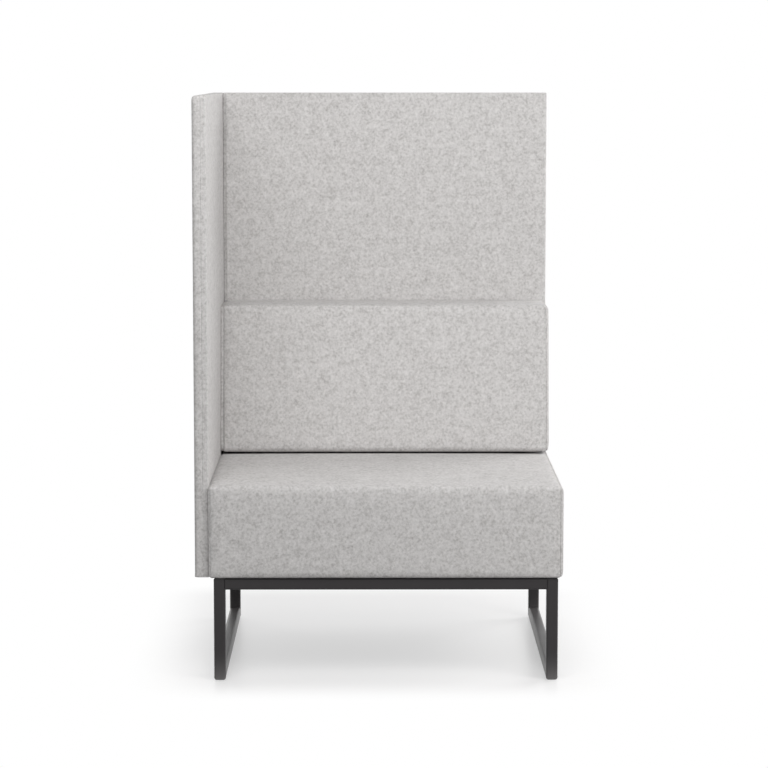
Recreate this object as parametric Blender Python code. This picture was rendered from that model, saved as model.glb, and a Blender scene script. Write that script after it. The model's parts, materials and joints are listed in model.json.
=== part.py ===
"""High-backed sofa module: an upholstered seat, backrest, back screen and side screen on a tubular sled base.

Metres, +Z up. The seat faces -Y and the side screen stands on the -X side. Every piece is placed from the seat:
x 0 is the seat's middle, y 0 its front face and z 0 the floor. One empty then carries all of them to the middle
of the module's footprint.
"""

import math
from dataclasses import dataclass

import bmesh
import bpy
from mathutils import Matrix, Vector

# Overall sizes
SEAT_WIDTH = 0.750
SEAT_DEPTH = 0.695
SEAT_HEIGHT = 0.420
BASE_HEIGHT = 0.222
MODULE_HEIGHT = 1.250
SCREEN_THICKNESS = 0.030
SIDE_SCREEN_SETBACK = 0.016

# Gap left between pieces that touch
CLEARANCE = 0.0003

# Sled base
TUBE = 0.025
TUBE_WALL = 0.002
TUBE_RADIUS = 0.005
TUBE_CORNER_STEPS = 4
BASE_SIDE_INSET = 0.006
BASE_FRONT_INSET = 0.005
BASE_REAR_REACH = 0.010
PLATE_THICKNESS = 0.004
PLATE_EDGE = 0.018
GLIDE_THICKNESS = 0.002
GLIDE_RADIUS = 0.009
GLIDE_STEM_RADIUS = 0.003
GLIDE_STEM = 0.008
GLIDE_SETBACK = 0.060

# Upholstery
FABRIC = 0.0015
HEM = 0.032
SEAT_CROWN = 0.003
FRONT_CROWN = 0.003
SIDE_CROWN = 0.006
CROWN_FULLNESS = 4
EDGE_RADIUS = 0.008
FOOT_RADIUS = 0.004
WATERFALL_RADIUS = 0.012
SIDE_SCREEN_RADIUS = 0.008
BACK_SCREEN_RADIUS = 0.005
SCREEN_HEM = 0.010
ROUNDING_STEPS = 2

# Seat frame and springing
SKIRT_FOAM = 0.012
SEAT_FOAM = 0.070
DUST_COVER = 0.0008
RING_THICKNESS = 0.018
RING_EDGE = 0.030
RAIL_THICKNESS = 0.022
CHANNEL_SHEET = 0.0015
CHANNEL_DEPTH = 0.012
SPRING_COUNT = 5
SPRING_WIRE = 0.004
SPRING_PITCH = 0.034
SPRING_REACH = 0.026
SPRING_ARCH = 0.010
ARCH_STEPS = 13
FELT = 0.003

# Backrest
BACKREST_TOP = 0.761
BACKREST_FOOT_DEPTH = 0.195
BACKREST_TOP_DEPTH = 0.146
BACKREST_GAP = 0.0025
BACKREST_CROWN = 0.004
BACKREST_FOAM = 0.050
BACKREST_EDGE_FOAM = 0.015
REAR_BOARD = 0.012
FRONT_BOARD = 0.009
RIB = 0.018

# Screens
CORE = 0.016
CORE_EDGE_FOAM = 0.005

# Fasteners
BOLT_RADIUS = 0.004
BOLT_HEAD_RADIUS = 0.0075
BOLT_HEAD = 0.005
BOLT_CHAMFER = 0.0015
BOLT_SOCKET_RADIUS = 0.003
BOLT_GRIP = 0.011
BOLT_CLEARANCE = 0.0005
BOLT_MARGIN = 0.016
BOLT_STEPS = 10
SIDE_BOLT_INSET = 0.140
BACK_BOLT_SPREAD = 0.200
CORNER_BOLT_INSET = 0.130

# Places worked out from the sizes
SEAT_HALF = SEAT_WIDTH / 2
SEAT_FOOT = BASE_HEIGHT + DUST_COVER + 2 * CLEARANCE
SKIN = FABRIC + CLEARANCE
SCREEN_FACE = -(SEAT_HALF + SIDE_CROWN + CLEARANCE)
SCREEN_OUTER = SCREEN_FACE - SCREEN_THICKNESS
BACK_REAR = SEAT_DEPTH + SCREEN_THICKNESS
LOOP_PLACE = SEAT_HALF - BASE_SIDE_INSET - TUBE / 2
LOOP_FRONT = BASE_FRONT_INSET
LOOP_REAR = SEAT_DEPTH + BASE_REAR_REACH
FRAME_HALF = SEAT_HALF - SKIN - SKIRT_FOAM - CLEARANCE
FRAME_FRONT = SKIN + SKIRT_FOAM + CLEARANCE
FRAME_REAR = SEAT_DEPTH - CLEARANCE - SKIN - SKIRT_FOAM - CLEARANCE
RING_FOOT = SEAT_FOOT + SKIN
RAIL_FOOT = RING_FOOT + RING_THICKNESS + CLEARANCE
FELT_FOOT = SEAT_HEIGHT - SKIN - SEAT_FOAM - CLEARANCE - FELT - SPRING_ARCH
SPRING_PLACE = FELT_FOOT - CLEARANCE - SPRING_WIRE / 2
RAIL_TOP = SPRING_PLACE - SPRING_WIRE / 2 - 2 * CLEARANCE - CHANNEL_SHEET
RAIL_MIDDLE = (RAIL_FOOT + RAIL_TOP) / 2
BOLT_ACROSS = FRAME_HALF - RAIL_THICKNESS - BOLT_MARGIN
BOLT_FRONT = FRAME_FRONT + RAIL_THICKNESS + BOLT_MARGIN
BOLT_REAR = FRAME_REAR - RAIL_THICKNESS - BOLT_MARGIN
BACKREST_FOOT = SEAT_HEIGHT + SEAT_CROWN + BACKREST_GAP
BACKREST_LEAN = BACKREST_FOOT_DEPTH - BACKREST_TOP_DEPTH
BACKREST_FRONT = SEAT_DEPTH - BACKREST_FOOT_DEPTH
BOARD_HALF = SEAT_HALF - SKIN - BACKREST_EDGE_FOAM - CLEARANCE
BOARD_FOOT = BACKREST_FOOT + SKIN + BACKREST_EDGE_FOAM + CLEARANCE
BOARD_TOP = BACKREST_TOP - SKIN - BACKREST_EDGE_FOAM - CLEARANCE
BOARD_MIDDLE = (BOARD_FOOT + BOARD_TOP) / 2
CORE_INSET = (SCREEN_THICKNESS - CORE) / 2
CORE_MARGIN = SKIN + CORE_EDGE_FOAM + CLEARANCE
HOLE_RADIUS = BOLT_RADIUS + BOLT_CLEARANCE

# Colour, roughness and metallic value of each finish
FINISHES = {
    "melange_fabric": ((0.55, 0.54, 0.53), 0.95, 0.0),
    "powder_coat": ((0.045, 0.044, 0.046), 0.45, 0.0),
    "plywood": ((0.62, 0.46, 0.29), 0.60, 0.0),
    "beech": ((0.66, 0.48, 0.32), 0.55, 0.0),
    "foam": ((0.80, 0.76, 0.62), 0.90, 0.0),
    "felt": ((0.30, 0.31, 0.33), 0.95, 0.0),
    "dust_cloth": ((0.02, 0.02, 0.02), 0.90, 0.0),
    "spring_steel": ((0.35, 0.35, 0.36), 0.40, 1.0),
    "zinc": ((0.60, 0.61, 0.62), 0.35, 1.0),
    "nylon": ((0.03, 0.03, 0.03), 0.50, 0.0),
}

# Direction that each face of an upholstered unit looks in
FACES = {"left": "-X", "right": "+X", "front": "-Y", "rear": "+Y", "foot": "-Z", "top": "+Z"}
FOOT_EDGES = {frozenset(("foot", side)): FOOT_RADIUS for side in ("left", "right", "front", "rear")}


@dataclass
class Unit:
    """An upholstered unit: the box its fabric fills, and how that box is swollen, rounded and opened."""

    low: Vector
    high: Vector
    loops: tuple
    margins: tuple
    crowns: dict
    radii: dict
    radius: float
    mouth: str
    lean: float = 0.0


SEAT_UNIT = Unit(
    low=Vector((-SEAT_HALF, 0.0, SEAT_FOOT)),
    high=Vector((SEAT_HALF, SEAT_DEPTH - CLEARANCE, SEAT_HEIGHT)),
    loops=(7, 7, 3),
    margins=(HEM, HEM, HEM),
    crowns={"top": SEAT_CROWN, "front": FRONT_CROWN, "left": SIDE_CROWN, "right": SIDE_CROWN},
    radii={frozenset(("front", "top")): WATERFALL_RADIUS, **FOOT_EDGES},
    radius=EDGE_RADIUS,
    mouth="foot",
)

BACKREST_UNIT = Unit(
    low=Vector((-SEAT_HALF, BACKREST_FRONT, BACKREST_FOOT)),
    high=Vector((SEAT_HALF, SEAT_DEPTH - CLEARANCE, BACKREST_TOP)),
    loops=(7, 3, 5),
    margins=(HEM, HEM, HEM),
    crowns={"front": BACKREST_CROWN, "left": SIDE_CROWN, "right": SIDE_CROWN},
    radii={},
    radius=EDGE_RADIUS,
    mouth="rear",
    lean=BACKREST_LEAN,
)

BACK_SCREEN_UNIT = Unit(
    low=Vector((-SEAT_HALF, SEAT_DEPTH, SEAT_FOOT)),
    high=Vector((SEAT_HALF, BACK_REAR, MODULE_HEIGHT)),
    loops=(3, 3, 5),
    margins=(HEM, SCREEN_HEM, HEM),
    crowns={"left": SIDE_CROWN, "right": SIDE_CROWN},
    radii=FOOT_EDGES,
    radius=BACK_SCREEN_RADIUS,
    mouth="foot",
)

SIDE_SCREEN_UNIT = Unit(
    low=Vector((SCREEN_OUTER, SIDE_SCREEN_SETBACK, SEAT_FOOT)),
    high=Vector((SCREEN_FACE, BACK_REAR, MODULE_HEIGHT)),
    loops=(3, 3, 5),
    margins=(SCREEN_HEM, HEM, HEM),
    crowns={},
    radii=FOOT_EDGES,
    radius=SIDE_SCREEN_RADIUS,
    mouth="foot",
)


def clear_scene():
    for obj in list(bpy.data.objects):
        bpy.data.objects.remove(obj, do_unlink=True)


def make_origin():
    """The empty that carries the seat's frame to the middle of the footprint."""
    middle_x = (SCREEN_OUTER + SEAT_HALF + SIDE_CROWN) / 2
    middle_y = (BACK_REAR - FRONT_CROWN) / 2
    origin = bpy.data.objects.new("module_origin", None)
    origin.location = (-middle_x, -middle_y, 0.0)
    bpy.context.scene.collection.objects.link(origin)


def finish_material(finish):
    material = bpy.data.materials.get(finish)
    if material:
        return material
    colour, roughness, metallic = FINISHES[finish]
    material = bpy.data.materials.new(finish)
    material.use_nodes = True
    shader = material.node_tree.nodes["Principled BSDF"]
    shader.inputs["Base Color"].default_value = (*colour, 1.0)
    shader.inputs["Roughness"].default_value = roughness
    shader.inputs["Metallic"].default_value = metallic
    return material


def add_object(name, data, finish=None):
    """Link an object of this mesh or curve under the origin; with no finish it is a cutter."""
    obj = bpy.data.objects.new(name, data)
    bpy.context.scene.collection.objects.link(obj)
    obj.parent = bpy.data.objects["module_origin"]
    if finish is None:
        obj.hide_render = True
        obj.display_type = "WIRE"
    elif not data.materials:
        data.materials.append(finish_material(finish))
    return obj


def to_mesh(name, bm):
    bm.normal_update()
    bmesh.ops.recalc_face_normals(bm, faces=bm.faces[:])
    mesh = bpy.data.meshes.new(name)
    bm.to_mesh(mesh)
    bm.free()
    return mesh


def prism(name, outline, axis, start, stop, finish=None):
    """Extrude an outline along one axis; its points are given on the other two axes in order."""
    bm = bmesh.new()
    corners = []
    for first, second in outline:
        point = [first, second]
        point.insert(axis, start)
        corners.append(bm.verts.new(point))
    face = bm.faces.new(corners)
    grown = bmesh.ops.extrude_face_region(bm, geom=[face])["geom"]
    reach = Vector((0.0, 0.0, 0.0))
    reach[axis] = stop - start
    bmesh.ops.translate(bm, vec=reach, verts=[v for v in grown if isinstance(v, bmesh.types.BMVert)])
    return add_object(name, to_mesh(name, bm), finish)


def board(name, low, high, finish=None):
    """A plain rectangular board between two corners."""
    outline = [(low[0], low[1]), (high[0], low[1]), (high[0], high[1]), (low[0], high[1])]
    return prism(name, outline, 2, low[2], high[2], finish)


def drill(name, start, stop, radius):
    """A round cutter between two points."""
    line = Vector(stop) - Vector(start)
    bm = bmesh.new()
    bmesh.ops.create_cone(
        bm, cap_ends=True, segments=BOLT_STEPS, radius1=radius, radius2=radius, depth=line.length
    )
    turn = line.to_track_quat("Z", "Y").to_matrix().to_4x4()
    bm.transform(Matrix.Translation((Vector(start) + Vector(stop)) / 2) @ turn)
    return add_object(name, to_mesh(name, bm))


def pierce(cutter, *names):
    """Cut one cutter's shape out of each named piece."""
    for name in names:
        modifier = bpy.data.objects[name].modifiers.new(cutter.name, "BOOLEAN")
        modifier.object = cutter
        modifier.operation = "DIFFERENCE"
        modifier.solver = "EXACT"


def turned_mesh(name, profile):
    """Mesh of a profile of (radius, height) points, from axis to axis, turned about Z."""
    bm = bmesh.new()
    points = [bm.verts.new((radius, 0.0, height)) for radius, height in profile]
    edges = [bm.edges.new(pair) for pair in zip(points, points[1:])]
    bmesh.ops.spin(
        bm, geom=points + edges, axis=(0, 0, 1), cent=(0, 0, 0), steps=BOLT_STEPS, angle=math.tau
    )
    bmesh.ops.remove_doubles(bm, verts=bm.verts[:], dist=1e-6)
    return to_mesh(name, bm)


def place_along(obj, start, line):
    """Put an object's own Z axis on a line."""
    obj.location = start
    obj.rotation_mode = "QUATERNION"
    obj.rotation_quaternion = Vector(line).to_track_quat("Z", "Y")


def bolt(name, seat, tip, finish="zinc"):
    """Socket-head bolt whose head bears at the first point and whose shank ends at the second."""
    line = Vector(tip) - Vector(seat)
    profile = [
        (0.0, -BOLT_HEAD / 2),
        (BOLT_SOCKET_RADIUS, -BOLT_HEAD / 2),
        (BOLT_SOCKET_RADIUS, -BOLT_HEAD),
        (BOLT_HEAD_RADIUS - BOLT_CHAMFER, -BOLT_HEAD),
        (BOLT_HEAD_RADIUS, BOLT_CHAMFER - BOLT_HEAD),
        (BOLT_HEAD_RADIUS, 0.0),
        (BOLT_RADIUS, 0.0),
        (BOLT_RADIUS, line.length),
        (0.0, line.length),
    ]
    obj = add_object(name, turned_mesh(name, profile), finish)
    place_along(obj, seat, line)


def spread(low, high, margin, count):
    """Even places for a number of loops, the outer two a margin inside the ends."""
    first = low + margin
    last = high - margin
    return [first + (last - first) * i / (count - 1) for i in range(count)]


def facing(name):
    """Axis that a named face looks along, as an index, and which way it looks."""
    sign, letter = FACES[name]
    return "XYZ".index(letter), -1 if sign == "-" else 1


def faces_at(unit, point):
    """Names of the unit's faces that a point of its plain box lies on."""
    found = set()
    for name in FACES:
        axis, side = facing(name)
        level = unit.high[axis] if side > 0 else unit.low[axis]
        if abs(point[axis] - level) < 1e-6:
            found.add(name)
    return found


def swell(unit, point):
    """How far the crowns of a unit's faces move a point of its plain box."""
    move = Vector((0.0, 0.0, 0.0))
    size = unit.high - unit.low
    share = [2 * (point[i] - unit.low[i]) / size[i] - 1 for i in range(3)]
    for name in faces_at(unit, point):
        axis, side = facing(name)
        fall = [1 - abs(share[i]) ** CROWN_FULLNESS for i in range(3) if i != axis]
        move[axis] += side * unit.crowns.get(name, 0.0) * fall[0] * fall[1]
    height = (point.z - unit.low.z) / size.z
    depth = (point.y - unit.low.y) / size.y
    move.y += unit.lean * height * (1 - depth)
    return move


def unit_bmesh(unit, opened):
    """Box with loops across it, edges weighted for rounding and faces swollen, its mouth cut if asked."""
    bm = bmesh.new()
    size = unit.high - unit.low
    middle = (unit.high + unit.low) / 2
    bmesh.ops.create_cube(bm, size=1.0, matrix=Matrix.Translation(middle) @ Matrix.Diagonal((*size, 1.0)))
    for axis in range(3):
        normal = Vector((0.0, 0.0, 0.0))
        normal[axis] = 1.0
        for place in spread(unit.low[axis], unit.high[axis], unit.margins[axis], unit.loops[axis]):
            everything = bm.verts[:] + bm.edges[:] + bm.faces[:]
            bmesh.ops.bisect_plane(bm, geom=everything, plane_co=normal * place, plane_no=normal)
    if opened:
        axis = facing(unit.mouth)[0]
        inside = []
        for face in bm.faces:
            middle = face.calc_center_median()
            clear = [
                unit.low[i] + unit.margins[i] < middle[i] < unit.high[i] - unit.margins[i]
                for i in range(3)
                if i != axis
            ]
            if unit.mouth in faces_at(unit, middle) and all(clear):
                inside.append(face)
        bmesh.ops.delete(bm, geom=inside, context="FACES")
    widest = max([unit.radius, *unit.radii.values()])
    weight = bm.edges.layers.float.new("bevel_weight_edge")
    for edge in bm.edges:
        shared = faces_at(unit, edge.verts[0].co) & faces_at(unit, edge.verts[1].co)
        if len(shared) == 2:
            edge[weight] = unit.radii.get(frozenset(shared), unit.radius) / widest
    moves = [swell(unit, vert.co) for vert in bm.verts]
    for vert, move in zip(bm.verts, moves):
        vert.co += move
    return bm


def unit_object(name, unit, opened, finish):
    """The unit's surface with its edges rounded."""
    obj = add_object(name, to_mesh(name, unit_bmesh(unit, opened)), finish)
    rounding = obj.modifiers.new("rounding", "BEVEL")
    rounding.limit_method = "WEIGHT"
    rounding.width = max([unit.radius, *unit.radii.values()])
    rounding.segments = ROUNDING_STEPS
    rounding.use_clamp_overlap = False
    return obj


def sewn_cover(name, unit):
    """Fabric shell over a unit, open at its mouth."""
    obj = unit_object(name, unit, True, "melange_fabric")
    cloth = obj.modifiers.new("cloth", "SOLIDIFY")
    cloth.thickness = FABRIC
    cloth.offset = -1.0


def foam_filling(name, unit, cavity):
    """Foam that fills a unit's cover, less the room its frame takes."""
    obj = unit_object(name, unit, False, "foam")
    shrink = obj.modifiers.new("under_cloth", "DISPLACE")
    shrink.strength = -SKIN
    shrink.mid_level = 0.0
    pierce(cavity, obj.name)


def rounded_square(half, radius):
    """Points of a square with rounded corners, counter-clockwise."""
    points = []
    for quarter in range(4):
        turn = quarter * math.pi / 2
        centre_x = (half - radius) * (1 if quarter in (0, 3) else -1)
        centre_z = (half - radius) * (1 if quarter in (0, 1) else -1)
        for step in range(TUBE_CORNER_STEPS + 1):
            angle = turn + math.pi / 2 * step / TUBE_CORNER_STEPS
            points.append((centre_x + radius * math.cos(angle), centre_z + radius * math.sin(angle)))
    return points


def tube_mesh(name, length, mitred):
    """Hollow square tube along Y; a mitred one is longest on its -Z side, the outside of its loop."""
    outer = rounded_square(TUBE / 2, TUBE_RADIUS)
    inner = rounded_square(TUBE / 2 - TUBE_WALL, max(TUBE_RADIUS - TUBE_WALL, TUBE_WALL / 4))
    trim = CLEARANCE / math.sqrt(2) if mitred else CLEARANCE
    bm = bmesh.new()
    rings = []
    for end in (-1, 1):
        for outline in (outer, inner):
            ring = []
            for x, z in outline:
                cut = z + TUBE / 2 if mitred else 0.0
                ring.append(bm.verts.new((x, end * (length / 2 - trim - cut), z)))
            rings.append(ring)
    near_outer, near_inner, far_outer, far_inner = rings
    count = len(outer)
    for pair in ((near_outer, far_outer), (near_inner, far_inner), (near_outer, near_inner), (far_outer, far_inner)):
        for i in range(count):
            j = (i + 1) % count
            bm.faces.new((pair[0][i], pair[0][j], pair[1][j], pair[1][i]))
    return to_mesh(name, bm)


def tube(name, mesh, place, turn):
    obj = add_object(name, mesh, "powder_coat")
    obj.location = place
    obj.rotation_euler = turn


def make_base_loop(side, sign):
    """One welded side loop: runner, top rail and two legs, mitred at all four corners."""
    depth = LOOP_REAR - LOOP_FRONT
    height = BASE_HEIGHT - GLIDE_THICKNESS
    x = sign * LOOP_PLACE
    middle_y = (LOOP_FRONT + LOOP_REAR) / 2
    middle_z = GLIDE_THICKNESS + height / 2
    half = TUBE / 2
    long_tube = tube_mesh("long_tube_" + side, depth, True)
    leg_tube = tube_mesh("leg_tube_" + side, height, True)
    quarter = math.pi / 2
    tube("base_runner_" + side, long_tube, (x, middle_y, GLIDE_THICKNESS + half), (0, 0, 0))
    tube("base_top_rail_" + side, long_tube, (x, middle_y, BASE_HEIGHT - half), (0, math.pi, 0))
    tube("base_front_leg_" + side, leg_tube, (x, LOOP_FRONT + half, middle_z), (-quarter, 0, 0))
    tube("base_rear_leg_" + side, leg_tube, (x, LOOP_REAR - half, middle_z), (quarter, 0, 0))


def make_cross_rails():
    """Front and rear rails between the loops."""
    rail = tube_mesh("cross_tube", 2 * LOOP_PLACE - TUBE, False)
    height = BASE_HEIGHT - TUBE / 2
    turn = (0, 0, math.pi / 2)
    tube("base_front_cross_rail", rail, (0.0, LOOP_FRONT + TUBE / 2, height), turn)
    tube("base_rear_cross_rail", rail, (0.0, LOOP_REAR - TUBE / 2, height), turn)


def make_glides():
    """Nylon glides with stems pressed through the foot wall of each runner."""
    profile = [
        (0.0, 0.0),
        (GLIDE_RADIUS, 0.0),
        (GLIDE_RADIUS, GLIDE_THICKNESS - CLEARANCE),
        (GLIDE_STEM_RADIUS, GLIDE_THICKNESS - CLEARANCE),
        (GLIDE_STEM_RADIUS, GLIDE_THICKNESS + GLIDE_STEM),
        (0.0, GLIDE_THICKNESS + GLIDE_STEM),
    ]
    mesh = turned_mesh("glide", profile)
    for side, sign in (("left", -1), ("right", 1)):
        for end, y in (("front", LOOP_FRONT + GLIDE_SETBACK), ("rear", LOOP_REAR - GLIDE_SETBACK)):
            x = sign * LOOP_PLACE
            obj = add_object("base_glide_" + end + "_" + side, mesh, "nylon")
            obj.location = (x, y, 0.0)
            top = GLIDE_THICKNESS + TUBE_WALL + GLIDE_STEM / 4
            hole = drill("glide_hole_" + end + "_" + side, (x, y, 0.0), (x, y, top), GLIDE_STEM_RADIUS + CLEARANCE)
            pierce(hole, "base_runner_" + side)


def make_corner_plates():
    """Plates welded into the corners of the base, and the bolts that hold the seat down on them."""
    head_level = BASE_HEIGHT - PLATE_THICKNESS - CLEARANCE
    for side, sign in (("left", -1), ("right", 1)):
        wall_x = LOOP_PLACE - TUBE / 2 - CLEARANCE
        edge_x = BOLT_ACROSS - PLATE_EDGE
        front_wall = LOOP_FRONT + TUBE + CLEARANCE
        rear_wall = LOOP_REAR - TUBE - CLEARANCE
        ends = (("front", front_wall, BOLT_FRONT, PLATE_EDGE), ("rear", rear_wall, BOLT_REAR, -PLATE_EDGE))
        for end, wall_y, bolt_y, edge in ends:
            outline = [
                (sign * wall_x, wall_y),
                (sign * edge_x, wall_y),
                (sign * edge_x, bolt_y),
                (sign * BOLT_ACROSS, bolt_y + edge),
                (sign * wall_x, bolt_y + edge),
            ]
            where = end + "_" + side
            prism("base_plate_" + where, outline, 2, BASE_HEIGHT - PLATE_THICKNESS, BASE_HEIGHT, "powder_coat")
            place = (sign * BOLT_ACROSS, bolt_y)
            bolt("base_bolt_" + where, (*place, head_level), (*place, RING_FOOT + RING_THICKNESS - CLEARANCE))
            hole = drill(
                "base_hole_" + where,
                (*place, head_level - BOLT_HEAD),
                (*place, RAIL_FOOT + BOLT_GRIP),
                HOLE_RADIUS,
            )
            pierce(hole, "base_plate_" + where, "seat_dust_cover", "seat_base_ring")


def make_seat_frame():
    """Plywood base ring with four rails standing on its edge."""
    ring = board(
        "seat_base_ring",
        (-FRAME_HALF, FRAME_FRONT, RING_FOOT),
        (FRAME_HALF, FRAME_REAR, RING_FOOT + RING_THICKNESS),
        "plywood",
    )
    window = board(
        "ring_window",
        (-BOLT_ACROSS + RING_EDGE, BOLT_FRONT + RING_EDGE, RING_FOOT - RING_THICKNESS),
        (BOLT_ACROSS - RING_EDGE, BOLT_REAR - RING_EDGE, RING_FOOT + 2 * RING_THICKNESS),
    )
    pierce(window, ring.name)
    front_in = FRAME_FRONT + RAIL_THICKNESS
    rear_in = FRAME_REAR - RAIL_THICKNESS
    side_in = FRAME_HALF - RAIL_THICKNESS
    side_ends = (front_in + CLEARANCE, rear_in - CLEARANCE)
    rails = {
        "seat_front_rail": ((-FRAME_HALF, FRAME_FRONT), (FRAME_HALF, front_in)),
        "seat_rear_rail": ((-FRAME_HALF, rear_in), (FRAME_HALF, FRAME_REAR)),
        "seat_left_rail": ((-FRAME_HALF, side_ends[0]), (-side_in, side_ends[1])),
        "seat_right_rail": ((side_in, side_ends[0]), (FRAME_HALF, side_ends[1])),
    }
    for name, (low, high) in rails.items():
        board(name, (*low, RAIL_FOOT), (*high, RAIL_TOP), "beech")


def arch_height(y):
    """Rise of the springs at a place along the seat, flat at both ends."""
    first = FRAME_FRONT + RAIL_THICKNESS
    last = FRAME_REAR - RAIL_THICKNESS
    share = min(max((y - first) / (last - first), 0.0), 1.0)
    return SPRING_ARCH * math.sin(math.pi * share) ** 2


def make_spring_channels():
    """Steel channels on the front and rear rails, open inwards, that hold the ends of the springs."""
    foot = RAIL_TOP + CLEARANCE
    top = foot + 2 * CHANNEL_SHEET + SPRING_WIRE + 2 * CLEARANCE
    length = FRAME_HALF - RAIL_THICKNESS
    for end, mouth, inward in (
        ("front", FRAME_FRONT + RAIL_THICKNESS, 1),
        ("rear", FRAME_REAR - RAIL_THICKNESS, -1),
    ):
        back = mouth - inward * CHANNEL_DEPTH
        web = back + inward * CHANNEL_SHEET
        outline = [
            (mouth, foot),
            (back, foot),
            (back, top),
            (mouth, top),
            (mouth, top - CHANNEL_SHEET),
            (web, top - CHANNEL_SHEET),
            (web, foot + CHANNEL_SHEET),
            (mouth, foot + CHANNEL_SHEET),
        ]
        prism("seat_spring_channel_" + end, outline, 0, -length, length, "zinc")


def spring_points(middle):
    """Path of a sinuous spring: straight bars joined in turn by half circles at their ends."""
    bury = CHANNEL_DEPTH - CHANNEL_SHEET - CLEARANCE - SPRING_WIRE / 2
    first = FRAME_FRONT + RAIL_THICKNESS - bury
    last = FRAME_REAR - RAIL_THICKNESS + bury
    bars = round((last - first) / SPRING_PITCH)
    radius = (last - first) / bars / 2
    straight = max(SPRING_REACH - radius, SPRING_WIRE)
    points = []
    for bar in range(bars + 1):
        side = 1 if bar % 2 else -1
        y = first + 2 * radius * bar
        points.append((middle - side * straight, y))
        points.append((middle + side * straight, y))
        if bar < bars:
            for angle in (-math.pi / 6, math.pi / 6):
                bend = side * radius * math.cos(angle)
                points.append((middle + side * straight + bend, y + radius + radius * math.sin(angle)))
    return [(x, y, SPRING_PLACE + arch_height(y)) for x, y in points]


def make_springs():
    inside = FRAME_HALF - RAIL_THICKNESS
    for i in range(SPRING_COUNT):
        name = "seat_spring_" + str(i + 1)
        points = spring_points(-inside + 2 * inside * (i + 0.5) / SPRING_COUNT)
        curve = bpy.data.curves.new(name, "CURVE")
        curve.dimensions = "3D"
        curve.bevel_depth = SPRING_WIRE / 2
        curve.bevel_resolution = 0
        curve.use_fill_caps = True
        line = curve.splines.new("POLY")
        line.points.add(len(points) - 1)
        for point, place in zip(line.points, points):
            point.co = (*place, 1.0)
        add_object(name, curve, "spring_steel")


def arch_line(first, last, level):
    """Points of the springs' arch, raised to a level."""
    return [(y, level + arch_height(y)) for y in spread(first, last, 0.0, ARCH_STEPS)]


def make_seat_padding():
    """Felt over the springs, foam with skirts round the frame, cover and dust cover."""
    inside = FRAME_HALF - RAIL_THICKNESS
    first = FRAME_FRONT + RAIL_THICKNESS + CLEARANCE
    last = FRAME_REAR - RAIL_THICKNESS - CLEARANCE
    foot = arch_line(first, last, FELT_FOOT)
    prism("seat_felt", foot + arch_line(first, last, FELT_FOOT + FELT)[::-1], 0, -inside, inside, "felt")
    below = SEAT_FOOT - HEM
    ahead = FRAME_FRONT - CLEARANCE
    behind = FRAME_REAR + CLEARANCE
    level = FELT_FOOT + FELT + CLEARANCE
    roof = [(ahead, level), *arch_line(first, last, level), (behind, level)]
    outline = [(behind, below), (ahead, below), *roof]
    room = prism("seat_room", outline, 0, -FRAME_HALF - CLEARANCE, FRAME_HALF + CLEARANCE)
    foam_filling("seat_foam", SEAT_UNIT, room)
    sewn_cover("seat_cover", SEAT_UNIT)
    level = BASE_HEIGHT + CLEARANCE
    low = (-FRAME_HALF, FRAME_FRONT, level)
    board("seat_dust_cover", low, (FRAME_HALF, FRAME_REAR, level + DUST_COVER), "dust_cloth")


def backrest_front(z):
    """Depth of the backrest's plain front face at a height."""
    return BACKREST_FRONT + BACKREST_LEAN * (z - BACKREST_FOOT) / (BACKREST_TOP - BACKREST_FOOT)


def leaning(name, first, last, half, finish=None):
    """Piece between two lines, each a pair of depths at the boards' foot and top, across the backrest."""
    outline = [(first[0], BOARD_FOOT), (last[0], BOARD_FOOT), (last[1], BOARD_TOP), (first[1], BOARD_TOP)]
    return prism(name, outline, 0, half[0], half[1], finish)


def make_backrest():
    """Wedge frame of two boards and three ribs, with foam and cover over it."""
    rear = SEAT_DEPTH - CLEARANCE - SKIN
    rear_in = rear - REAR_BOARD
    bury = SKIN + BACKREST_FOAM + CLEARANCE
    face = [backrest_front(z) + bury for z in (BOARD_FOOT, BOARD_TOP)]
    face_in = [y + FRONT_BOARD for y in face]
    across = (-BOARD_HALF, BOARD_HALF)
    leaning("backrest_rear_board", (rear_in, rear_in), (rear, rear), across, "plywood")
    leaning("backrest_front_board", face, face_in, across, "plywood")
    rib_front = [y + CLEARANCE for y in face_in]
    rib_rear = [rear_in - CLEARANCE] * 2
    ribs = {"left": -BOARD_HALF, "middle": -RIB / 2, "right": BOARD_HALF - RIB}
    for where, x in ribs.items():
        leaning("backrest_rib_" + where, rib_front, rib_rear, (x, x + RIB), "plywood")
    slope = BACKREST_LEAN / (BACKREST_TOP - BACKREST_FOOT)
    low = BOARD_FOOT - CLEARANCE
    high = BOARD_TOP + CLEARANCE
    behind = SEAT_DEPTH + HEM
    outline = [
        (face[0] - CLEARANCE * (1 + slope), low),
        (behind, low),
        (behind, high),
        (face[1] - CLEARANCE * (1 - slope), high),
    ]
    room = prism("backrest_room", outline, 0, -BOARD_HALF - CLEARANCE, BOARD_HALF + CLEARANCE)
    foam_filling("backrest_foam", BACKREST_UNIT, room)
    sewn_cover("backrest_cover", BACKREST_UNIT)


def make_screen(name, unit, thin):
    """Board core, foam wrap and cover of a screen that is thin along one axis."""
    low = unit.low.copy()
    high = unit.high.copy()
    for axis in range(3):
        inset = CORE_INSET if axis == thin else CORE_MARGIN
        low[axis] += inset
        high[axis] -= inset
    low.z = unit.low.z + SKIN
    board(name + "_core", low, high, "plywood")
    gap = Vector((CLEARANCE, CLEARANCE, CLEARANCE))
    room = board(name + "_room", low - gap - Vector((0.0, 0.0, HEM)), high + gap)
    foam_filling(name + "_foam", unit, room)
    sewn_cover(name + "_cover", unit)


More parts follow.
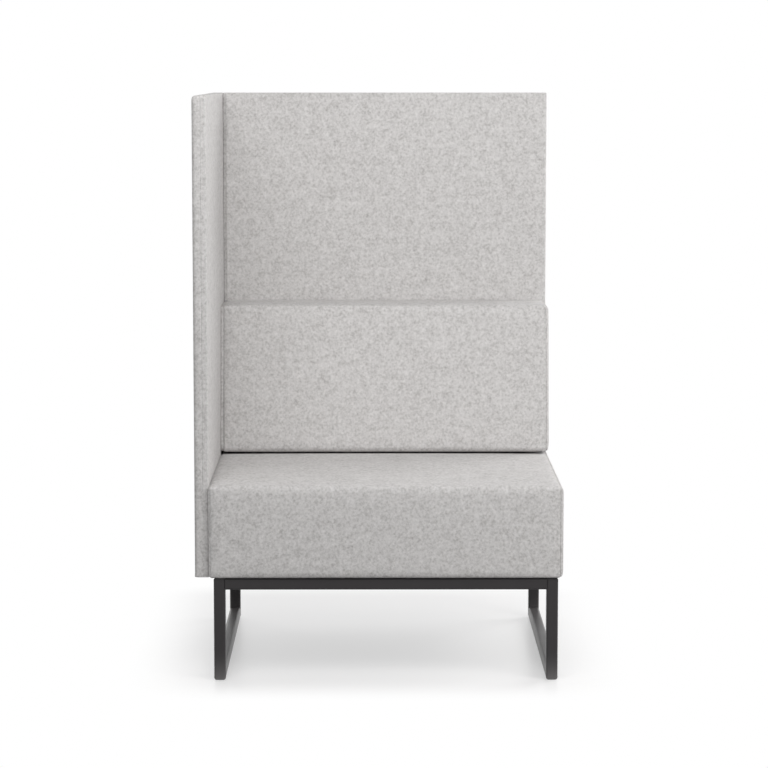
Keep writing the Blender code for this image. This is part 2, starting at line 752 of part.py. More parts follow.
def fasten(name, seat, tip, pierced, sunk=None):
    """A bolt, its hole through the pieces it joins, and a counterbore where its head is sunk in one."""
    bolt(name, seat, tip)
    line = (Vector(tip) - Vector(seat)).normalized()
    back = Vector(seat) - line * BOLT_HEAD
    hole = drill(name + "_hole", back, Vector(tip) + line * CLEARANCE, HOLE_RADIUS)
    pierce(hole, *pierced)
    if sunk:
        floor = Vector(seat) + line * CLEARANCE
        counterbore = drill(name + "_counterbore", back - line * CORE, floor, BOLT_HEAD_RADIUS + BOLT_CLEARANCE)
        pierce(counterbore, sunk)


def make_side_screen_bolts():
    """Bolts from inside the seat, through its left rail and side, into the side screen's core."""
    head = -(FRAME_HALF - RAIL_THICKNESS - CLEARANCE)
    tip = SCREEN_FACE - CORE_INSET - BOLT_GRIP
    pierced = ["seat_left_rail", "seat_foam", "seat_cover"]
    pierced += ["side_screen_cover", "side_screen_foam", "side_screen_core"]
    front = FRAME_FRONT + RAIL_THICKNESS + SIDE_BOLT_INSET
    rear = FRAME_REAR - RAIL_THICKNESS - SIDE_BOLT_INSET
    for end, y in (("front", front), ("rear", rear)):
        fasten("side_screen_bolt_" + end, (head, y, RAIL_MIDDLE), (tip, y, RAIL_MIDDLE), pierced)


def make_back_screen_bolts():
    """Bolts from inside the seat, through its rear rail and cover, into the back screen's core."""
    head = FRAME_REAR - RAIL_THICKNESS - CLEARANCE
    tip = SEAT_DEPTH + CORE_INSET + BOLT_GRIP
    pierced = ["seat_rear_rail", "seat_foam", "seat_cover"]
    pierced += ["back_screen_cover", "back_screen_foam", "back_screen_core"]
    for side, x in (("left", -BACK_BOLT_SPREAD), ("right", BACK_BOLT_SPREAD)):
        fasten("back_screen_bolt_" + side, (x, head, RAIL_MIDDLE), (x, tip, RAIL_MIDDLE), pierced)


def make_backrest_screws():
    """Screws with heads sunk in the back screen's core, into the backrest's rear board."""
    head = BACK_REAR - CORE_INSET - BOLT_HEAD - CLEARANCE
    tip = SEAT_DEPTH - CLEARANCE - SKIN - BOLT_GRIP
    pierced = ["back_screen_core", "back_screen_foam", "back_screen_cover", "backrest_rear_board"]
    for side, x in (("left", -BACK_BOLT_SPREAD), ("right", BACK_BOLT_SPREAD)):
        seat = (x, head, BOARD_MIDDLE)
        fasten("backrest_screw_" + side, seat, (x, tip, BOARD_MIDDLE), pierced, "back_screen_core")


def make_corner_bolts():
    """Bolts with heads sunk in the side screen's core, into the edge of the back screen's core."""
    head = SCREEN_OUTER + CORE_INSET + BOLT_HEAD + CLEARANCE
    tip = -SEAT_HALF + CORE_MARGIN + 2 * BOLT_GRIP
    y = SEAT_DEPTH + SCREEN_THICKNESS / 2
    pierced = ["side_screen_core", "side_screen_foam", "side_screen_cover"]
    pierced += ["back_screen_cover", "back_screen_foam", "back_screen_core"]
    places = (("lower", SEAT_HEIGHT + CORNER_BOLT_INSET), ("upper", MODULE_HEIGHT - CORNER_BOLT_INSET))
    for where, z in places:
        fasten("corner_bolt_" + where, (head, y, z), (tip, y, z), pierced, "side_screen_core")


def main():
    clear_scene()
    make_origin()
    make_base_loop("left", -1)
    make_base_loop("right", 1)
    make_cross_rails()
    make_glides()
    make_seat_frame()
    make_spring_channels()
    make_springs()
    make_seat_padding()
    make_corner_plates()
    make_backrest()
    make_screen("back_screen", BACK_SCREEN_UNIT, 1)
    make_screen("side_screen", SIDE_SCREEN_UNIT, 0)
    make_side_screen_bolts()
    make_back_screen_bolts()
    make_backrest_screws()
    make_corner_bolts()


main()
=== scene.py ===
"""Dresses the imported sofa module: sewn wool upholstery, a coated steel base and a plain studio stage."""

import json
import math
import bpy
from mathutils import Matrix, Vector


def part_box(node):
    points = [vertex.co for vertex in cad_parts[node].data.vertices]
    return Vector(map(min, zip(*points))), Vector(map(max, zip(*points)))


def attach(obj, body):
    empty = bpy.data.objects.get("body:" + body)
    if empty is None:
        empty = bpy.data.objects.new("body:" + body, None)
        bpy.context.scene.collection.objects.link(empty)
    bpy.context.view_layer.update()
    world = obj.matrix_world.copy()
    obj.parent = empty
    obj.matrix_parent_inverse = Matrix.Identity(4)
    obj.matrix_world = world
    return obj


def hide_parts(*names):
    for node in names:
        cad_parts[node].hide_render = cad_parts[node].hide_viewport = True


bl_info = {
    "name": "Sofa module dresser",
    "version": (1, 0, 0),
    "blender": (4, 5, 0),
    "location": "View3D > Sidebar > Sofa",
    "description": "Builds the upholstery, finishes and stage of a high-backed sofa module on its frame",
    "category": "Object",
}

import bpy
import numpy as np
from bpy.props import FloatProperty, FloatVectorProperty, PointerProperty
from mathutils import Vector

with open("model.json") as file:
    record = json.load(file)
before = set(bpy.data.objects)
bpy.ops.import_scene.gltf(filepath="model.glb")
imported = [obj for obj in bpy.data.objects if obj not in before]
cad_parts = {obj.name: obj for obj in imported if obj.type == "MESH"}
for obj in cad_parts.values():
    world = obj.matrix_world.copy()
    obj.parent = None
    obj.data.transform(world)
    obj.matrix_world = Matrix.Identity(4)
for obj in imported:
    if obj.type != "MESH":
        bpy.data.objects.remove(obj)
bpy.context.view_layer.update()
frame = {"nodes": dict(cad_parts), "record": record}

NODES = frame["nodes"]
SLOT_OF = {part["node"]: part["material_slot"] for part in frame["record"]["subparts"]}

MM = 0.001
X_AXIS = 0
Y_AXIS = 1
# Roles of the rings of a cushion
PANEL, SEAM, LOW_SIDE, HIGH_SIDE = range(4)
# Share of an outward direction from which a point counts as facing that way
FACING = 0.5

# Steps of the cloth simulation, and how often its travel is averaged with its neighbours
CLOTH_STEPS = 20
SMOOTHING_PASSES = 8

# Radius of cushion edges that lie against other parts
HIDDEN_RADIUS = 4 * MM
# Distance between the rings of a cushion
RING_PITCH = 14 * MM
# Room left for the filling to swell a free side panel
SIDE_SWELL = 1 * MM
# Places of a stitched groove's lips and bottom past the panel, and where the roll of the side panel starts
GROOVE_PLACES = (0.1 * MM, 0.5 * MM, 1.0 * MM)
ROLL_START = 1.2 * MM
# How far in a side panel reaches, as a share of the way to the spine
SPINE_REACH = 0.97

# Points along and across a stretched cloth, and its thickness
CLOTH_POINTS = (41, 37)
CLOTH_THICKNESS = 0.5 * MM
# Rings of a staple's wire, and corners of its section
STAPLE_RINGS = 6
STAPLE_CORNERS = 4
# How deep a weld roots in the tube, and half the gap that it bridges
WELD_ROOT = 0.8 * MM
HALF_WELD_GAP = 0.15 * MM

# Floor: half its side, its points along a side, and the middle and half size of its shaded part
FLOOR_REACH = 6.0
FLOOR_POINTS = 25
SHADE_MIDDLE = (0.0, 0.12, 0.0)
SHADE_HALF = (0.36, 0.47, 0.0)
# Width over which that part fades out, and how white it is at its darkest
SHADE_FADE = 0.20
SHADE_WHITE = 0.46

WHITE = (1.0, 1.0, 1.0)
WARM_WHITE = (1.0, 0.995, 0.985)
# What all lamps are turned to
LIGHT_TARGET = (0.0, 0.0, 0.6)
# Light from all round: level at the horizon and straight above
HORIZON_LEVEL = 0.70
ZENITH_LEVEL = 0.0

# Camera: place in metres, lens and sensor in millimetres, and degrees that it looks down and to the right
CAMERA_PLACE = (-0.01575, -6.2312, 1.3062)
CAMERA_LENS = 130.56
CAMERA_SENSOR = 36.0
CAMERA_PITCH = 6.4614
CAMERA_YAW = 0.2599


def linear(code):
    """Linear colour with full alpha from an sRGB hex code such as #C4C2C1."""
    channels = [int(code[i : i + 2], 16) / 255 for i in (1, 3, 5)]
    curve = [c / 12.92 if c <= 0.04045 else ((c + 0.055) / 1.055) ** 2.4 for c in channels]
    return (*curve, 1.0)


def length(name, description, millimetres):
    """Property for a length, given in millimetres and kept in metres."""
    return FloatProperty(
        name=name, description=description, default=millimetres * MM, min=0.0, unit="LENGTH", precision=4
    )


def colour(name, description, code):
    """Property for a colour, given as an sRGB hex code."""
    return FloatVectorProperty(
        name=name, description=description, default=linear(code), size=4, min=0.0, max=1.0, subtype="COLOR"
    )


class SofaSizes(bpy.types.PropertyGroup):
    """Sizes of the sewn work and of the welds that the frame does not fix."""

    seam_shoulder: length("Seam shoulder", "Width over which a panel rolls down into its seam", 4.0)
    seam_drop: length("Seam drop", "How deep the panels sink at a seam", 1.8)
    seam_groove: length("Seam groove", "Depth of the narrow stitched groove below the shoulders", 1.8)
    boxing_bulge: length("Side panel bulge", "How far a side panel stands past its seam", 8.5)
    boxing_roll: length("Side panel roll", "Width over which a free side panel rolls out of its seam", 16.0)
    screen_press: length("Screen press", "How far the side screen presses into the side panels", 2.0)
    screen_padding: length("Screen padding", "How far the padded front edge stands past the cover", 5.0)
    pressed_roll: length("Pressed side roll", "Width of the same roll against the side screen", 1.5)
    waterfall_radius: length("Waterfall radius", "Radius of the seat's soft front edge", 5.0)
    backrest_foot_radius: length("Backrest foot radius", "Radius of the backrest's lower front edge", 10.0)
    edge_radius: length("Cushion edge radius", "Radius of the other long edges of seat and backrest", 6.0)
    crown: length("Crown", "How far the filling may swell a free panel", 3.0)
    backrest_lean: length("Backrest lean", "How far the backrest's front leans back from foot to top", 49.0)
    outer_radius: length("Side screen outer radius", "Radius of the side screen's outer edges", 8.0)
    inner_radius: length("Side screen inner radius", "Radius of the side screen's inner edges", 3.0)
    screen_seam: length("Side screen seam", "Distance of the edge seam from the outer face", 17.5)
    back_radius: length("Back screen radius", "Radius of the back screen's edges", 1.2)
    cloth_sag: length("Dust cloth sag", "How far the dust cloth under the seat sags", 4.0)
    tube_radius: length("Tube radius", "Corner radius of the base's square tube", 5.0)
    weld_width: length("Weld width", "Width of a ground weld in the base", 2.4)
    weld_height: length("Weld height", "How far a ground weld stands off the tube", 0.15)


class SofaColours(bpy.types.PropertyGroup):
    """Colours of the finishes that show."""

    wool_dark: colour("Dark fibre", "Darkest flecks of the heathered wool", "#8C8987")
    wool_mid: colour("Ground", "Ground colour of the heathered wool", "#C6C4C3")
    wool_light: colour("Light fibre", "Lightest flecks of the heathered wool", "#E2E0DF")
    coat: colour("Powder coat", "Colour of the coated steel base", "#3C3A3B")
    floor: colour("Floor", "Colour of the studio floor", "#F4F3F3")


def add(tree, kind, settings=None, stops=None, **inputs):
    """Add one node: settings are its own values, inputs are socket values or sockets to link, and stops
    fill a ramp."""
    node = tree.nodes.new(kind)
    for name, value in (settings or {}).items():
        setattr(node, name, value)
    for name, value in inputs.items():
        key = int(name[1:]) if name[0] == "i" and name[1:].isdigit() else name.replace("_", " ")
        if isinstance(value, bpy.types.NodeSocket):
            tree.links.new(value, node.inputs[key])
        else:
            node.inputs[key].default_value = value
    if stops:
        ramp = node.color_ramp
        while len(ramp.elements) < len(stops):
            ramp.elements.new(1.0)
        for element, (place, shade) in zip(ramp.elements, stops):
            element.position = place
            element.color = shade
    return node


def start_material(name):
    """New node material with its tree, its shader and the object-space place that patterns read."""
    material = bpy.data.materials.new(name)
    material.use_nodes = True
    tree = material.node_tree
    tree.nodes.clear()
    shader = add(tree, "ShaderNodeBsdfPrincipled")
    add(tree, "ShaderNodeOutputMaterial", Surface=shader.outputs["BSDF"])
    place = add(tree, "ShaderNodeTexCoord").outputs["Object"]
    return material, tree, shader, place


def per_metre(millimetres):
    """Noise scale whose features are about this size."""
    return 1.0 / (millimetres * MM)


def noise(tree, place, size_mm, **inputs):
    """Socket of a noise whose features are about this size."""
    return add(tree, "ShaderNodeTexNoise", Vector=place, Scale=per_metre(size_mm), **inputs).outputs["Fac"]


def weighted(tree, value, weight, rest):
    """Socket of a value times its weight plus the rest."""
    node = add(tree, "ShaderNodeMath", {"operation": "MULTIPLY_ADD"}, i0=value, i1=weight, i2=rest)
    return node.outputs["Value"]


def blend(tree, share, first, second):
    """Socket of the colour that goes from the first to the second as the share rises."""
    return add(tree, "ShaderNodeMix", {"data_type": "RGBA"}, i0=share, i6=first, i7=second).outputs[2]


def emboss(tree, shader, height, distance_mm, strength):
    """Give a shader the relief of a height."""
    bump = add(tree, "ShaderNodeBump", Height=height, Distance=distance_mm * MM, Strength=strength)
    tree.links.new(bump.outputs["Normal"], shader.inputs["Normal"])


def vary_gloss(tree, shader, pattern, low, high):
    """Let a shader's roughness run between two values with a pattern."""
    gloss = add(tree, "ShaderNodeMapRange", Value=pattern, To_Min=low, To_Max=high)
    tree.links.new(gloss.outputs["Result"], shader.inputs["Roughness"])


def melange_wool(colours):
    """Felted wool cloth of dyed and undyed fibres, milled until no weave shows: soft flecks a few millimetres
    across over slow clouds, with a matt nap that catches light at grazing angles."""
    material, tree, shader, place = start_material("melange_wool_felt")
    # Noise is weakest along its own grid, so it is turned off the axes to give all faces nearly one contrast
    oblique = add(
        tree,
        "ShaderNodeVectorRotate",
        {"rotation_type": "AXIS_ANGLE"},
        Vector=place,
        Axis=(1.0, 2.0, 3.0),
        Angle=0.9,
    )
    skewed = oblique.outputs["Vector"]
    flecks = noise(tree, skewed, 5.6, Detail=1.5, Roughness=0.55)
    clouds = noise(tree, skewed, 16.0, Detail=2.0, Roughness=0.6)
    # Single fibres are under 0.1 mm, drawn at 2.4 mm so that they show
    fibres = noise(tree, skewed, 2.4, Detail=2.0, Roughness=0.6)
    # Streaks where the carded fleece was laid, eight times as long as they are high
    drawn = add(tree, "ShaderNodeVectorMath", {"operation": "MULTIPLY"}, i0=place, i1=(0.125, 0.125, 1.0))
    streaks = noise(tree, drawn.outputs["Vector"], 9.0, Detail=1.0)
    mottled = weighted(tree, clouds, 0.55, flecks)
    fibrous = weighted(tree, fibres, 0.55, mottled)
    laid = weighted(tree, streaks, 0.2, fibrous)
    share = add(tree, "ShaderNodeMapRange", Value=laid, From_Min=0.51, From_Max=1.79)
    ramp = add(
        tree,
        "ShaderNodeValToRGB",
        stops=[(0.0, colours.wool_dark), (0.5, colours.wool_mid), (1.0, colours.wool_light)],
        Fac=share.outputs["Result"],
    )
    tree.links.new(ramp.outputs["Color"], shader.inputs["Base Color"])
    nap = noise(tree, place, 1.1, Detail=3.0, Roughness=0.65)
    emboss(tree, shader, weighted(tree, fibres, 1.2, nap), 0.35, 0.55)
    shader.inputs["Roughness"].default_value = 0.92
    shader.inputs["Specular IOR Level"].default_value = 0.2
    shader.inputs["Sheen Weight"].default_value = 0.04
    shader.inputs["Sheen Roughness"].default_value = 0.55
    return material


def powder_coat(colours):
    """Polyester powder baked on steel: satin, with the faint orange peel of melted grains, rubbed a little
    smoother in slow patches."""
    material, tree, shader, place = start_material("satin_powder_coat")
    patches = noise(tree, place, 60.0, Detail=3.0)
    vary_gloss(tree, shader, patches, 0.30, 0.38)
    deep = [c * 0.86 for c in colours.coat[:3]] + [1.0]
    tone = blend(tree, patches, colours.coat, deep)
    # Painted light from the floor's bounce pales the lowest 70 mm, as the square of the share of that height
    # left
    height = add(tree, "ShaderNodeSeparateXYZ", Vector=place).outputs["Z"]
    low = add(tree, "ShaderNodeMapRange", Value=height, From_Max=70 * MM, To_Min=1.0, To_Max=0.0)
    underside = add(tree, "ShaderNodeMath", {"operation": "POWER"}, i0=low.outputs["Result"], i1=2.0)
    # 6E6C6C is the colour of that painted floor glow
    foot_glow_tone = blend(tree, underside.outputs["Value"], tone, linear("#6E6C6C"))
    tree.links.new(foot_glow_tone, shader.inputs["Base Color"])
    # Real peel is under 1 mm across, drawn at 1.4 mm so that it shows
    emboss(tree, shader, noise(tree, place, 1.4, Detail=1.0), 0.05, 0.6)
    shader.inputs["Specular IOR Level"].default_value = 0.16
    return material


def timber(name, early, late, grain_mm, ply_mm):
    """Wood with long grain: dark late-wood lines along X, and across Z the glue lines of plies where it has
    them."""
    material, tree, shader, place = start_material(name)
    run = add(tree, "ShaderNodeMapping", Vector=place, Scale=(0.06, 1.0, 1.0)).outputs["Vector"]
    grain = noise(tree, run, grain_mm, Detail=4.0, Roughness=0.6, Distortion=0.4)
    shade = blend(tree, grain, linear(early), linear(late))
    if ply_mm:
        # A wave's bands lie a tenth of pi over its scale apart, and two plies share a band
        bands = math.pi / 10 / (ply_mm * MM) / 2
        layers = add(tree, "ShaderNodeTexWave", {"bands_direction": "Z"}, Vector=place, Scale=bands)
        glue = add(tree, "ShaderNodeMapRange", Value=layers.outputs["Fac"], From_Min=0.75, To_Max=0.35)
        shade = blend(tree, glue.outputs["Result"], shade, linear("#6A4A2C"))
    tree.links.new(shade, shader.inputs["Base Color"])
    emboss(tree, shader, grain, 0.1, 0.4)
    shader.inputs["Roughness"].default_value = 0.6
    return material


def fibre_pad(name, low, high, cell_mm, roughness):
    """Soft matt stock such as foam, felt or nonwoven cloth: open cells or fibres of one size in two tones."""
    material, tree, shader, place = start_material(name)
    cells = add(tree, "ShaderNodeTexVoronoi", Vector=place, Scale=per_metre(cell_mm)).outputs["Distance"]
    mottle = noise(tree, place, cell_mm * 6, Detail=3.0)
    mixed = add(tree, "ShaderNodeMath", {"operation": "MULTIPLY"}, i0=cells, i1=mottle)
    shade = blend(tree, mixed.outputs["Value"], linear(low), linear(high))
    tree.links.new(shade, shader.inputs["Base Color"])
    emboss(tree, shader, cells, 0.3, 0.6)
    shader.inputs["Roughness"].default_value = roughness
    return material


def bright_metal(name, base, low, high, grain_mm):
    """Plated or drawn steel: metallic, with crystals or draw marks that vary its gloss."""
    material, tree, shader, place = start_material(name)
    grain = noise(tree, place, grain_mm, Detail=3.0)
    vary_gloss(tree, shader, grain, low, high)
    emboss(tree, shader, grain, 0.03, 0.4)
    shader.inputs["Base Color"].default_value = linear(base)
    shader.inputs["Metallic"].default_value = 1.0
    return material


def moulded_nylon():
    """Injection-moulded nylon: black, semi-matt, with the fine spark texture of its mould."""
    material, tree, shader, place = start_material("moulded_nylon")
    spark = noise(tree, place, 0.8, Detail=2.0)
    vary_gloss(tree, shader, spark, 0.42, 0.58)
    emboss(tree, shader, spark, 0.04, 0.5)
    shader.inputs["Base Color"].default_value = linear("#1B1B1C")
    return material


FINISHES = {}


def finish(slot):
    """Material of a record slot, made once and then shared."""
    colours = bpy.context.scene.sofa_colours
    makers = {
        "melange_fabric": lambda: melange_wool(colours),
        "powder_coat": lambda: powder_coat(colours),
        "plywood": lambda: timber("birch_plywood", "#D9BE93", "#B08A58", 2.5, 1.5),
        "beech": lambda: timber("planed_beech", "#D8B48A", "#AD7F52", 1.6, 0.0),
        "foam": lambda: fibre_pad("polyurethane_foam", "#B9AD86", "#E6DDBF", 1.2, 0.9),
        "felt": lambda: fibre_pad("needled_felt", "#4C4E52", "#8A8C90", 0.9, 0.95),
        "dust_cloth": lambda: fibre_pad("spunbond_cloth", "#0E0E0F", "#2A2A2C", 1.0, 0.85),
        "spring_steel": lambda: bright_metal("tempered_spring_wire", "#6D6B68", 0.3, 0.5, 1.0),
        "zinc": lambda: bright_metal("zinc_plate", "#B9BCC0", 0.28, 0.42, 2.0),
        "nylon": moulded_nylon,
    }
    if slot not in FINISHES:
        FINISHES[slot] = makers[slot]()
    return FINISHES[slot]


def rounded_outline(corners, radii, pitch):
    """Closed outline, counter-clockwise: each corner is an arc tangent to its two sides and each side a
    straight run in equal steps of about the pitch. Gives points and outward directions."""
    corners = np.asarray(corners, float)
    count = len(corners)
    step = np.roll(corners, -1, axis=0) - corners
    size = np.linalg.norm(step, axis=1)
    along = step / size[:, None]
    before = np.roll(along, 1, axis=0)
    turn = np.arccos(np.clip((along * before).sum(axis=1), -1.0, 1.0))
    cut = np.asarray(radii) * np.tan(turn / 2)
    points, outward = [], []
    for k in range(count):
        left = np.array([-before[k][1], before[k][0]])
        angle = np.linspace(0.0, turn[k], 9)[:, None]
        facing = before[k] * np.sin(angle) - left * np.cos(angle)
        centre = corners[k] - before[k] * cut[k] + left * radii[k]
        points.append(centre + radii[k] * facing)
        outward.append(facing)
        after = cut[(k + 1) % count]
        inner = np.linspace(cut[k], size[k] - after, max(3, round(size[k] / pitch)))[1:-1]
        points.append(corners[k] + along[k] * inner[:, None])
        outward.append(np.tile([along[k][1], -along[k][0]], (len(inner), 1)))
    return np.concatenate(points), np.concatenate(outward)


def towards_spine(points, first, last):
    """Direction in which each outline point sinks when the outline is drawn in: to the nearest point of the
    straight spine, in units of the spine's distance from the outline."""
    first = np.asarray(first, float)
    run = np.asarray(last, float) - first
    share = np.clip(((points - first) @ run) / (run @ run), 0.0, 1.0)
    reach = first + share[:, None] * run - points
    return reach / np.linalg.norm(reach, axis=1).min()


def loft(points, inward, places, insets, axis, swell=0.0):
    """Outline carried along an axis: ring k is the outline plus its inset times the inward directions plus
    its swell, set at its place on the axis. Rings and outline points form the grid."""
    flat = points[None] + insets[:, None, None] * inward[None] + swell
    grid = np.empty((len(places), len(points), 3))
    grid[..., axis] = places[:, None]
    grid[..., [i for i in range(3) if i != axis]] = flat
    return grid


def wrapped_quads(rings, around, closed_ends=False):
    """Quads of a grid that is closed round its outline, and from its last ring to its first where asked."""
    ring = np.arange(rings if closed_ends else rings - 1)[:, None]
    after = (ring + 1) % rings * around
    ring = ring * around
    low = np.arange(around)[None]
    high = (low + 1) % around
    return np.stack([ring + low, ring + high, after + high, after + low], axis=-1).reshape(-1, 4)


def flat_quads(rows, columns):
    """Quads of an open grid whose points run along its columns first."""
    row = np.arange(rows - 1)[:, None] * columns
    corner = row + np.arange(columns - 1)[None]
    return np.stack([corner, corner + columns, corner + columns + 1, corner + 1], axis=-1).reshape(-1, 4)


def turned_out(points, quads):
    """Quads turned so that the shape they enclose has a positive volume, from triple products about its
    centre."""
    corners = (points - points.mean(axis=0))[quads]
    volume = np.einsum("ij,ij->", np.cross(corners[:, 0], corners[:, 1]), corners[:, 2])
    volume += np.einsum("ij,ij->", np.cross(corners[:, 0], corners[:, 2]), corners[:, 3])
    return quads if volume > 0 else quads[:, ::-1]


def new_piece(name, points, faces, slot):
    """Smooth mesh object with the finish of its slot, riding on the frame."""
    mesh = bpy.data.meshes.new(name)
    mesh.from_pydata(points.tolist(), [], faces)
    mesh.polygons.foreach_set("use_smooth", np.ones(len(mesh.polygons), bool))
    mesh.materials.append(finish(slot))
    mesh.update()
    piece = bpy.data.objects.new(name, mesh)
    bpy.context.scene.collection.objects.link(piece)
    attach(piece, "root")
    return piece


def sewn_piece(name, grid, replaced):
    """Padded piece of wool from a lofted grid, closed by a cap at each end, in place of the solids it stands
    for."""
    rings, around = grid.shape[:2]
    points = grid.reshape(-1, 3)
    quads = wrapped_quads(rings, around)
    caps = np.array([np.arange(around)[::-1], np.arange(around) + (rings - 1) * around])
    faces = turned_out(points, quads)
    if faces is not quads:
        caps = caps[:, ::-1]
    piece = new_piece(name, points, faces.tolist() + caps.tolist(), "melange_fabric")
    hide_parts(*replaced)
    return piece


def plump(piece, held, cap):
    """Let a cover swell on its filling: cloth under even pressure with the held points pinned. Only travel
    along the outward normal counts, since the filling lets nothing sink; it is averaged with its neighbours
    on the grid and eased to the cap, as the cap times the hyperbolic tangent of travel over cap."""
    mesh = piece.data
    pins = piece.vertex_groups.new(name="held")
    pins.add(np.flatnonzero(held.ravel()).tolist(), 1.0, "REPLACE")
    cloth = piece.modifiers.new("filling", "CLOTH")
    cloth.settings.quality = 4
    cloth.settings.mass = 0.2
    cloth.settings.air_damping = 5.0
    cloth.settings.tension_stiffness = 20.0
    cloth.settings.compression_stiffness = 20.0
    cloth.settings.shear_stiffness = 10.0
    cloth.settings.bending_stiffness = 2.0
    cloth.settings.use_pressure = True
    cloth.settings.uniform_pressure_force = 4.0
    cloth.settings.vertex_group_mass = pins.name
    cloth.settings.effector_weights.gravity = 0.0
    scene = bpy.context.scene
    for step in range(1, CLOTH_STEPS + 1):
        scene.frame_set(step)
    before = np.empty(len(mesh.vertices) * 3)
    after = np.empty_like(before)
    normal = np.empty_like(before)
    mesh.vertices.foreach_get("co", before)
    mesh.vertices.foreach_get("normal", normal)
    swollen = piece.evaluated_get(bpy.context.evaluated_depsgraph_get()).data
    swollen.vertices.foreach_get("co", after)
    out = ((after - before) * normal).reshape(-1, 3).sum(axis=1).clip(0.0).reshape(held.shape)
    for _ in range(SMOOTHING_PASSES):
        out = (2 * out + np.roll(out, 1, axis=1) + np.roll(out, -1, axis=1)) / 4
        padded = np.pad(out, ((1, 1), (0, 0)), mode="edge")
        out = (2 * out + padded[:-2] + padded[2:]) / 4
        out[held] = 0.0
    piece.modifiers.remove(cloth)
    piece.vertex_groups.remove(pins)
    scene.frame_set(1)
    eased = cap * np.tanh(out / cap)
    mesh.vertices.foreach_set("co", before + normal * np.repeat(eased.ravel(), 3))
    mesh.update()


def cushion_rings(low, high, sizes, depth, sides, pitch):
    """Rings across a boxed cushion: flat panel, a quarter-ellipse shoulder down to each seam, a narrow
    groove, a quarter-ellipse roll out to the side panel, then the side panel in to the spine. Gives places,
    insets and roles from the low side to the high one. Each side has its own bulge and width of roll."""
    middle = (low + high) / 2
    half = (high - low) / 2
    turn = np.linspace(0.0, math.pi / 2, 7)
    ends = []
    for bulge, width in sides:
        shoulder = np.stack(
            [half - sizes.seam_shoulder * (1 - np.sin(turn)), sizes.seam_drop * (1 - np.cos(turn))]
        )
        sunk = sizes.seam_drop + np.array([0.0, sizes.seam_groove, 0.0])
        groove = np.stack([half + np.array(GROOVE_PLACES), sunk])
        roll = np.stack(
            [
                half + ROLL_START + (bulge - ROLL_START) * np.sin(turn[1:]),
                sizes.seam_drop + width * (1 - np.cos(turn[1:])),
            ]
        )
        inner = np.linspace(sizes.seam_drop + width, depth * SPINE_REACH, 8)[1:]
        face = np.stack([np.full(len(inner), half + bulge), inner])
        ends.append(np.concatenate([shoulder, groove, roll, face], axis=1))
    flat = np.linspace(-1, 1, round((high - low) / pitch)) * (half - sizes.seam_shoulder)
    places = np.concatenate([-ends[0][0][::-1], flat[1:-1], ends[1][0]])
    insets = np.concatenate([ends[0][1][::-1], np.zeros(len(flat) - 2), ends[1][1]])
    side = roll.shape[1] + face.shape[1]
    across = len(flat) - 2 + 2 * shoulder.shape[1]
    roles = np.repeat(
        [LOW_SIDE, SEAM, PANEL, SEAM, HIGH_SIDE], [side, groove.shape[1], across, groove.shape[1], side]
    )
    return middle + places, insets, roles


class SOFA_OT_seat(bpy.types.Operator):
    """Seat cushion: one panel runs from the foot of the front over the waterfall edge to the rear, a boxed
    side panel is sewn in at each end, and the filling swells what nothing presses on"""

    bl_idname = "sofa.seat"
    bl_label = "Seat"

    def execute(self, context):
        sizes = context.scene.sofa_sizes
        low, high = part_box("seat_cover")
        bulge = sizes.boxing_bulge
        front, rear = low.y + sizes.crown, high.y
        foot, top = low.z, high.z - sizes.crown
        corners = [(front, foot), (rear, foot), (rear, top), (front, top)]
        radii = [HIDDEN_RADIUS, HIDDEN_RADIUS, sizes.edge_radius, sizes.waterfall_radius]
        points, outward = rounded_outline(corners, radii, pitch=11 * MM)
        depth = (top - foot) / 2
        middle = (top + foot) / 2
        inward = towards_spine(points, (front + depth, middle), (rear - depth, middle))
        pressed_bulge = 3 * MM
        ends = ((pressed_bulge, sizes.pressed_roll), (bulge - SIDE_SWELL, sizes.boxing_roll))
        left = low.x + sizes.screen_press + pressed_bulge
        places, insets, roles = cushion_rings(left, high.x - bulge, sizes, depth, ends, RING_PITCH)
        grid = loft(points, inward, places, insets, X_AXIS)
        piece = sewn_piece("seat_upholstery", grid, ["seat_cover", "seat_foam", "seat_felt"])
        # The backrest keeps the seat from swelling from a little behind its front
        covered = points[:, 0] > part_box("backrest_cover")[0].y + 20 * MM
        pressed = covered | (outward[:, 0] > FACING) | (outward[:, 1] < -FACING)
        plump(piece, np.isin(roles, (SEAM, LOW_SIDE))[:, None] | pressed[None], sizes.crown)
        return {"FINISHED"}


